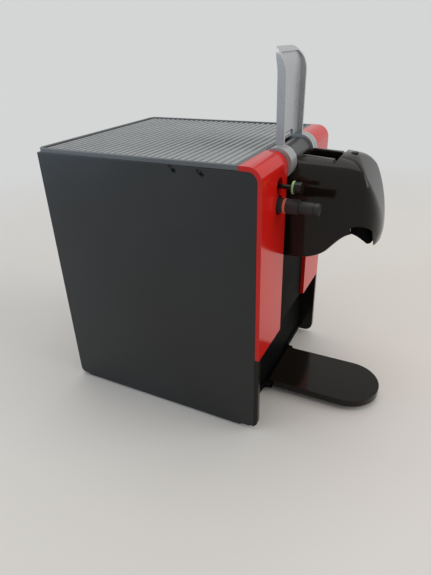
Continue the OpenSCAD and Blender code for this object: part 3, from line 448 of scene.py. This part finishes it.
def headSolid(look):
    steps = look["steps"]
    under = [point for part in look["under"] for point in curvePoints(part, steps["under"])]
    tipEnd = look["tip"][-1]
    low = under + look["tip"] + [(look["nose"] * 2, tipEnd[1])]
    outline = headOutline(look, under)
    hw, reach, r = look["halfWidth"], look["nose"], look["lowRound"]
    begin, tight, middle = look["turn"]
    plan = [(hw, reach - begin), (hw, reach - tight), (hw * middle, reach), (0, reach)]
    half = curvePoints(plan, steps["plan"])
    columns = half + [(-x, f) for x, f in half[-2::-1]]
    verts, faces = [], []
    for x, clip in columns:
        across = max(0.0, (abs(x) - look["flat"]) / (hw - look["flat"]))
        fall = math.sqrt(max(0.0, 1 - across ** 2))
        over = max(0.0, abs(x) - (hw - r))
        lift = r - math.sqrt(max(0.0, r * r - over * over))
        section = look["shoulderLow"] - (look["shoulderLow"] - look["top"]) * fall
        narrow, wide = look["clipRound"]
        least, most = look["blend"]
        for f, d in outline:
            if f > look["back"] + look["clipFrom"]:
                f = softMin(f, clip, narrow + wide * (x / hw) ** 2)
            share = min(1.0, max(0.0, (f - look["blendStart"]) / look["blendReach"]))
            blend = most * share * min(1.0, abs(x) / look["blendAcross"])
            d = softMax(d, section, least + blend)
            verts.append(headPoint(x, f, min(d, onPolyline(low, f) - lift)))
    rows = len(outline)
    for j in range(len(columns) - 1):
        for i in range(rows):
            a, b = j * rows + i, j * rows + (i + 1) % rows
            faces.append((a, b, b + rows, a + rows))
    faces.append(tuple(range(rows - 1, -1, -1)))
    faces.append(tuple((len(columns) - 1) * rows + i for i in range(rows)))
    mesh = bpy.data.meshes.new("headLoft")
    mesh.from_pydata(verts, [], faces)
    bm = bmesh.new()
    bm.from_mesh(mesh)
    bmesh.ops.remove_doubles(bm, verts=bm.verts, dist=look["weld"])
    bmesh.ops.dissolve_degenerate(bm, edges=bm.edges, dist=1e-6)
    bmesh.ops.recalc_face_normals(bm, faces=bm.faces)
    bm.to_mesh(mesh)
    bm.free()
    return newObject("headSkin", mesh)


def prism(name, points, low, high, axis):  # an outline drawn on two axes, drawn out along the third
    verts = [Vector((p[0], p[1], w)) for w in (low, high) for p in points]
    count = len(points)
    faces = [tuple(range(count - 1, -1, -1)), tuple(range(count, 2 * count))]
    faces += [(k, (k + 1) % count, count + (k + 1) % count, count + k) for k in range(count)]
    place = {"x": lambda v: headPoint(v.z, v.x, v.y), "z": lambda v: headPoint(v.x, v.y, v.z)}[axis]
    mesh = bpy.data.meshes.new(name)
    mesh.from_pydata([place(v) for v in verts], [], faces)
    bm = bmesh.new()
    bm.from_mesh(mesh)
    bmesh.ops.recalc_face_normals(bm, faces=bm.faces)
    bm.to_mesh(mesh)
    bm.free()
    return newObject(name, mesh)


def ring(cx, cy, r, start, stop, count):  # points of an arc, its angles in degrees
    turns = [math.radians(start + (stop - start) * k / count) for k in range(count + 1)]
    return [(cx + r * math.cos(a), cy + r * math.sin(a)) for a in turns]


def cut(obj, tool, operation="DIFFERENCE"):
    step = obj.modifiers.new("cut", "BOOLEAN")
    step.operation, step.solver, step.object = operation, "EXACT", tool
    bakeModifiers(obj)
    bpy.data.objects.remove(tool)


def headPiece(look, cuts):
    skin = headSolid(look)
    nose = look["nose"]

    def fromNose(points):
        return [(nose + f, d) for f, d in points]

    arch = curvePoints(fromNose(cuts["archCurve"]), 16) + fromNose(cuts["archTip"]) + cuts["archBack"]
    cut(skin, prism("archCut", arch, -cuts["archHalf"], cuts["archHalf"], "x"))
    back, top, low = cuts["pocketBack"], cuts["pocketTop"], cuts["pocketLow"]
    inside = [(back, top)] + fromNose(cuts["pocketFront"]) + [(back, low)]
    pocket = prism("pocket", inside, -cuts["pocketHalf"], cuts["pocketHalf"], "x")
    half = curvePoints([(x, nose + f) for x, f in cuts["plan"]], 12)
    wide, rear = cuts["plan"][0][0], cuts["planBack"]
    plan = [(wide, rear)] + half + [(-x, f) for x, f in half[-2::-1]] + [(-wide, rear)]
    cut(pocket, prism("planCut", plan, *cuts["planDepth"], "z"), "INTERSECT")
    cut(skin, pocket)
    hw, r = cuts["slotHalf"], cuts["slotRound"]
    start, stop = cuts["slotFrom"], cuts["slotTo"]
    slotPlan = [(-hw, stop), (hw, stop)] + ring(hw - r, start + r, r, 0, -90, 8)
    slotPlan += ring(-hw + r, start + r, r, -90, -180, 8)
    cut(skin, prism("slotCut", slotPlan, *cuts["slotDepth"], "z"))
    chamber = curvePoints(cuts["chamberCurve"], 8) + cuts["chamberTop"]
    cut(skin, prism("chamberCut", chamber, -cuts["chamberHalf"], cuts["chamberHalf"], "x"))
    barrel = ring(*cuts["axle"], cuts["barrelRound"], 0, 360, 96)[:-1]
    cut(skin, prism("barrelCut", barrel, -cuts["barrelHalf"], cuts["barrelHalf"], "x"))
    for side in (-1, 1):
        hub = ring(*cuts["axle"], cuts["hubRound"], 0, 360, 96)[:-1]
        cut(skin, prism("hubCut", hub, side * cuts["hubInner"], side * cuts["hubOuter"], "x"))
    pad = ring(0, cuts["padAhead"], cuts["padRound"], 0, 360, 32)[:-1]
    cut(skin, prism("padCut", pad, *cuts["padDepth"], "z"))
    bevel = skin.modifiers.new("edges", "BEVEL")
    bevel.width, bevel.segments, bevel.limit_method = look["edge"] * mm, 2, "ANGLE"
    bevel.angle_limit, bevel.use_clamp_overlap = math.radians(look["edgeFold"]), True
    bakeModifiers(skin)
    shadeByAngle(skin, look["sharp"])
    dress(skin, glossReflectionTintFinish, "casing", ["head_shell"])


headPiece(headShape, headCuts)
print("head made")


# The cup tray is a plate and its ribs, laid out by Geometry Nodes. Millimetres.
trayShape = {"pitch": 6.0, "ribWidth": 3.0, "ribHeight": 1.0, "ribRound": 0.45, "plate": 1.2, "corner": 5.0,
    "sideGap": 2.0, "frontGap": 2.0, "rearGap": 1.0}


def ribTree(finish):
    tree = bpy.data.node_groups.new("trayRibs", "GeometryNodeTree")
    face = tree.interface
    kinds = {"Ribs": "NodeSocketInt"}
    face.new_socket("Geometry", in_out="INPUT", socket_type="NodeSocketGeometry")
    for name in ("Ribs", "Pitch", "Length", "Width", "Height", "Round"):
        face.new_socket(name, in_out="INPUT", socket_type=kinds.get(name, "NodeSocketFloat"))
    face.new_socket("Geometry", in_out="OUTPUT", socket_type="NodeSocketGeometry")
    start, end = tree.nodes.new("NodeGroupInput"), tree.nodes.new("NodeGroupOutput")
    given = {socket.name: Wire(tree, socket) for socket in start.outputs}
    wire = Wire(tree)
    offset = wire.add("ShaderNodeCombineXYZ", {}, {"Y": given["Pitch"]})
    row = wire.add("GeometryNodeMeshLine", {}, {"Count": given["Ribs"], "Offset": offset})
    left = wire.add("ShaderNodeCombineXYZ", {}, {"X": given["Length"] * -0.5})
    right = wire.add("ShaderNodeCombineXYZ", {}, {"X": given["Length"] * 0.5})
    spine = wire.add("GeometryNodeCurvePrimitiveLine", {"mode": "POINTS"}, {"Start": left, "End": right})
    profile = wire.add("GeometryNodeCurvePrimitiveQuadrilateral", {},
                       {"Width": given["Width"], "Height": given["Height"]})
    rounded = wire.add("GeometryNodeFilletCurve", {"mode": "POLY"},
                       {"Curve": profile, "Radius": given["Round"], "Count": 3, "Limit Radius": True})
    bar = wire.add("GeometryNodeCurveToMesh", {},
                   {"Curve": spine, "Profile Curve": rounded, "Fill Caps": True})
    copies = wire.add("GeometryNodeInstanceOnPoints", {}, {"Points": row, "Instance": bar})
    real = wire.add("GeometryNodeRealizeInstances", {}, {"Geometry": copies})
    paint = wire.add("GeometryNodeSetMaterial", {}, {"Geometry": real, "Material": finish})
    tree.links.new(paint.socket, end.inputs["Geometry"])
    return tree


def runTree(name, tree, settings, place):
    obj = newObject(name, bpy.data.meshes.new(name))
    made = obj.modifiers.new("layout", "NODES")
    made.node_group = tree
    for item in tree.interface.items_tree:
        if item.item_type == "SOCKET" and item.in_out == "INPUT" and item.name in settings:
            made[item.identifier] = settings[item.name]
    bakeModifiers(obj)
    obj.data.transform(Matrix.Translation(place))
    return obj


def cupTray(look):
    low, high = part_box("cup_tray")
    r = look["corner"] * mm
    x, y0, y1 = high.x, low.y, high.y
    turns = [math.radians(15 * k) for k in range(13)]  # a half circle, shared by the two rear corners
    outline = [(-x, y0), (x, y0)]
    outline += [(x - r + r * math.cos(a), y1 - r + r * math.sin(a)) for a in turns[:7]]
    outline += [(-x + r + r * math.cos(a), y1 - r + r * math.sin(a)) for a in turns[6:]]
    count = len(outline)
    top = low.z + look["plate"] * mm
    verts = [(px, py, z) for z in (low.z, top) for px, py in outline]
    faces = [tuple(range(count - 1, -1, -1)), tuple(range(count, 2 * count))]
    faces += [(k, (k + 1) % count, count + (k + 1) % count, count + k) for k in range(count)]
    mesh = bpy.data.meshes.new("trayPlate")
    mesh.from_pydata(verts, [], faces)
    plate = newObject("trayPlate", mesh)
    shadeByAngle(plate, 30)
    dress(plate, trayFinish, "casing", ["cup_tray"])
    width, pitch = look["ribWidth"] * mm, look["pitch"] * mm
    begin = y0 + look["frontGap"] * mm
    count = int((y1 - look["rearGap"] * mm - width - begin) / pitch + 1e-6) + 1
    sizes = {"Ribs": count, "Pitch": pitch, "Length": 2 * (x - look["sideGap"] * mm), "Width": width,
             "Height": 2 * look["ribHeight"] * mm, "Round": look["ribRound"] * mm}
    ribs = runTree("trayRibs", ribTree(trayFinish), sizes, (0, begin + width / 2, top))
    shadeByAngle(ribs, 50)
    dress(ribs, trayFinish, "casing", ["cup_tray"])
    print("tray ribs:", count)


cupTray(trayShape)


# Rays that see the pale background: the camera's, and those mirrored or passed on by a piece
def seenRays(wire):
    seen = wire.add("ShaderNodeLightPath", output="Is Camera Ray")
    for kind in ("Is Glossy Ray", "Is Transmission Ray"):
        seen = wire.math("MAXIMUM", seen, wire.add("ShaderNodeLightPath", output=kind))
    return seen


roomSet = {"floor": (0.66, 0.63, 0.595), "wall": (0.66, 0.67, 0.67), "sky": (0.82, 0.83, 0.84),
    "skyStrength": 0.58, "reach": 6, "fade": (0.40, 1.15), "cloud": 3.0, "darker": 0.98, "rough": 0.55}


# The floor, which fades into the background tone away from the object
def makeFloor(look):
    mesh = bpy.data.meshes.new("floor")
    e = look["reach"]
    mesh.from_pydata([(-e, -e, 0), (e, -e, 0), (e, e, 0), (-e, e, 0)], [], [(0, 1, 2, 3)])
    floor = newObject("floor", mesh)
    material, surface, wire, place = newMaterial("floorPale")
    clouds = wire.add("ShaderNodeTexNoise", {}, {"Vector": place, "Scale": look["cloud"], "Detail": 3.0})
    dark = [value * look["darker"] for value in look["floor"]]
    tone = clouds.step(0.3, 0.7).mix(colour(*dark), colour(*look["floor"]))
    connect(wire, tone, surface, "Base Color")
    surface.inputs["Roughness"].default_value = look["rough"]
    away = wire.add("ShaderNodeVectorMath", {"operation": "LENGTH"}, {0: place}, output="Value")
    far = away.step(*look["fade"]) * seenRays(wire)
    near = Wire(wire.tree, surface.outputs[0])
    glow = wire.add("ShaderNodeEmission", {}, {"Color": colour(*look["wall"]), "Strength": 1.0})
    both = wire.add("ShaderNodeMixShader", {}, {0: far, 1: near, 2: glow})
    wire.tree.links.new(both.socket, wire.tree.nodes["Material Output"].inputs["Surface"])
    mesh.materials.append(material)


makeFloor(roomSet)


def makeLamp(name, place, aim, size, power, tint):
    data = bpy.data.lights.new(name, "AREA")
    data.shape, data.size, data.energy, data.color = "SQUARE", size, power, tint
    lamp = bpy.data.objects.new(name, data)
    bpy.context.scene.collection.objects.link(lamp)
    direction = Vector(aim) - Vector(place)
    lamp.matrix_world = Matrix.Translation(place) @ direction.to_track_quat("-Z", "Y").to_matrix().to_4x4()


lamps = {  # place, aim, size, power and tint
    "frontWindow": ((0.5, -2.3, 1.3), (0, 0, 0.1), 1.8, 31, (1.0, 0.985, 0.95)),
    "ceiling": ((0.2, 0.2, 2.4), (0, 0, 0), 2.0, 22, (1.0, 0.97, 0.925)),
    "leftWindow": ((-1.5, 1.7, 0.55), (0, 0, 0.15), 1.0, 17, (0.52, 0.76, 1.0)),
}
for name, (place, aim, size, power, tint) in lamps.items():
    makeLamp(name, place, aim, size, power, tint)

world = bpy.data.worlds.new("room")
bpy.context.scene.world = world
world.use_nodes = True
sky = Wire(world.node_tree)
seen = seenRays(sky)
back = world.node_tree.nodes["Background"]
tone = seen.mix(colour(*roomSet["sky"]), colour(*roomSet["wall"]))
world.node_tree.links.new(tone.socket, back.inputs["Color"])
strength = seen * (1.0 - roomSet["skyStrength"]) + roomSet["skyStrength"]
world.node_tree.links.new(strength.socket, back.inputs["Strength"])
bpy.context.scene.view_settings.view_transform = "Standard"
print("floor and lamps made")
